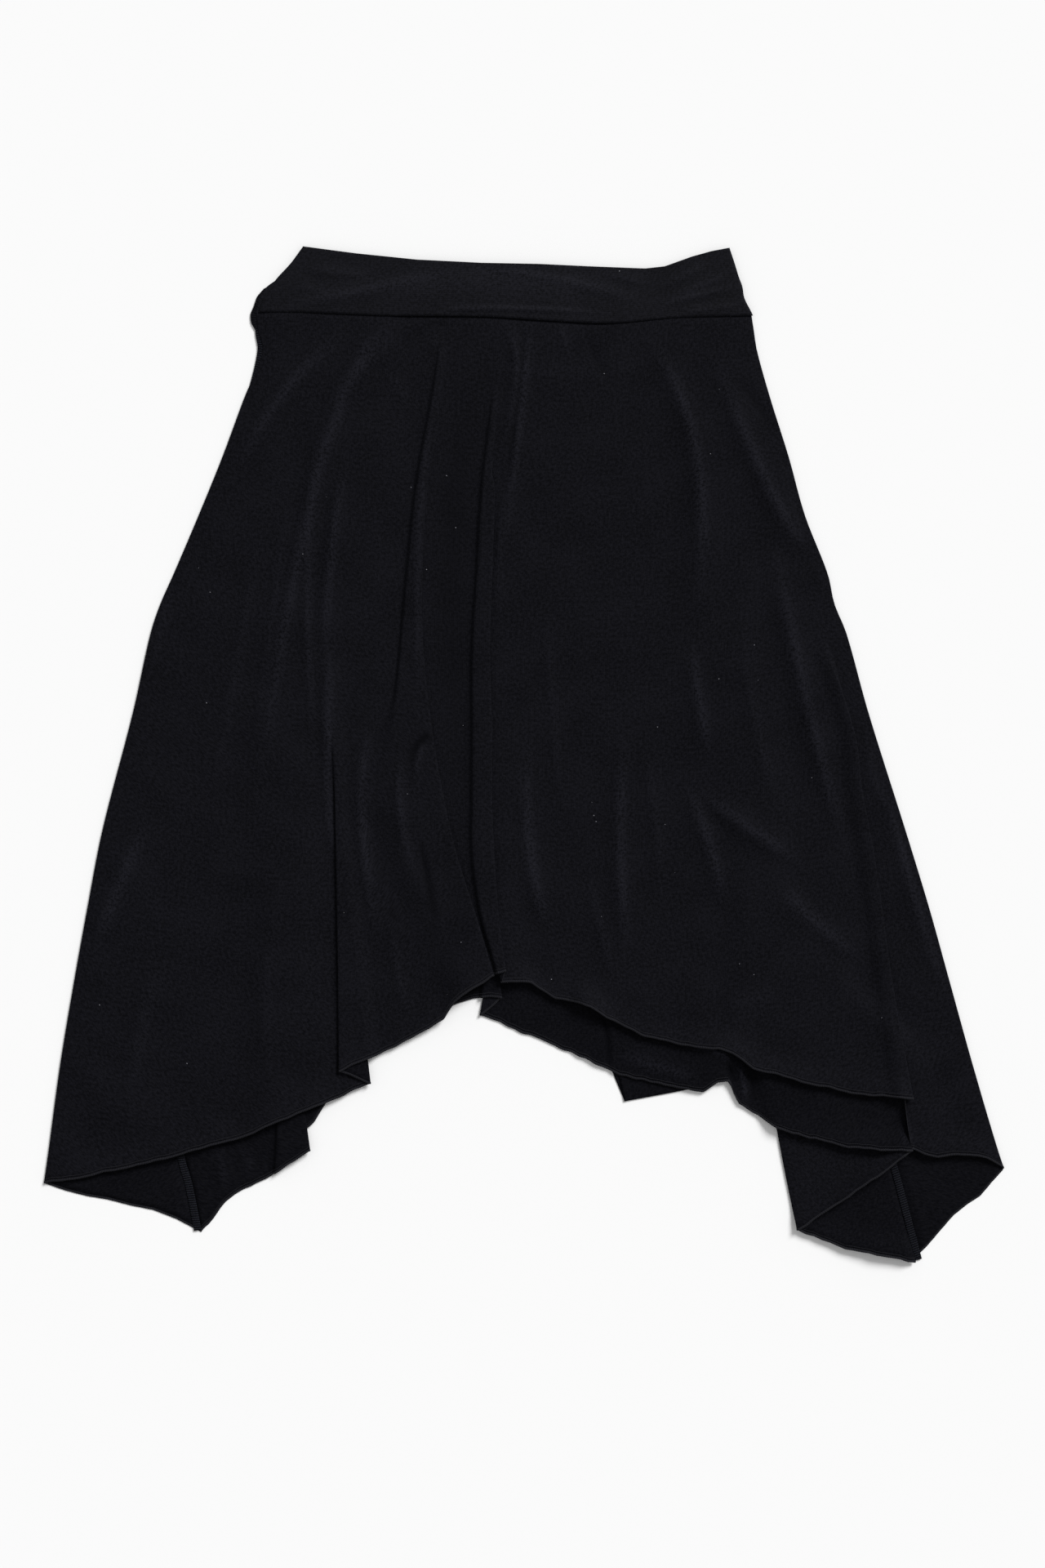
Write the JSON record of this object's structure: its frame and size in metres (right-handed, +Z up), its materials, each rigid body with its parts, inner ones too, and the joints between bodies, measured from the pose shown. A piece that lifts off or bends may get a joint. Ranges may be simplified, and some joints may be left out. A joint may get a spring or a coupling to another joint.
{
  "type": "flat-laid skirt",
  "caption": "Knee-length flared jersey skirt with a wide waistband, soft pleats and a pointed handkerchief hem, lying flat with its front up.",
  "frame": {"origin": "centre of the laid skirt's outline, on the surface that it lies on", "axes": "+Z up from the surface, +Y from the hem towards the waistband, +X to the right of the skirt as it is seen from above"},
  "size_m": [0.8819, 0.9308, 0.0117],
  "materials": {
    "jersey": "fine matt knit with a faint sheen",
    "jersey_inside": "matt purl side of the same knit"
  },
  "bodies": {
    "root": {"back_panel": "jersey_inside", "back_hem_tip": "jersey", "front_panel": "jersey", "waistband_back": "jersey", "waistband_front": "jersey"}
  },
  "joints": []
}
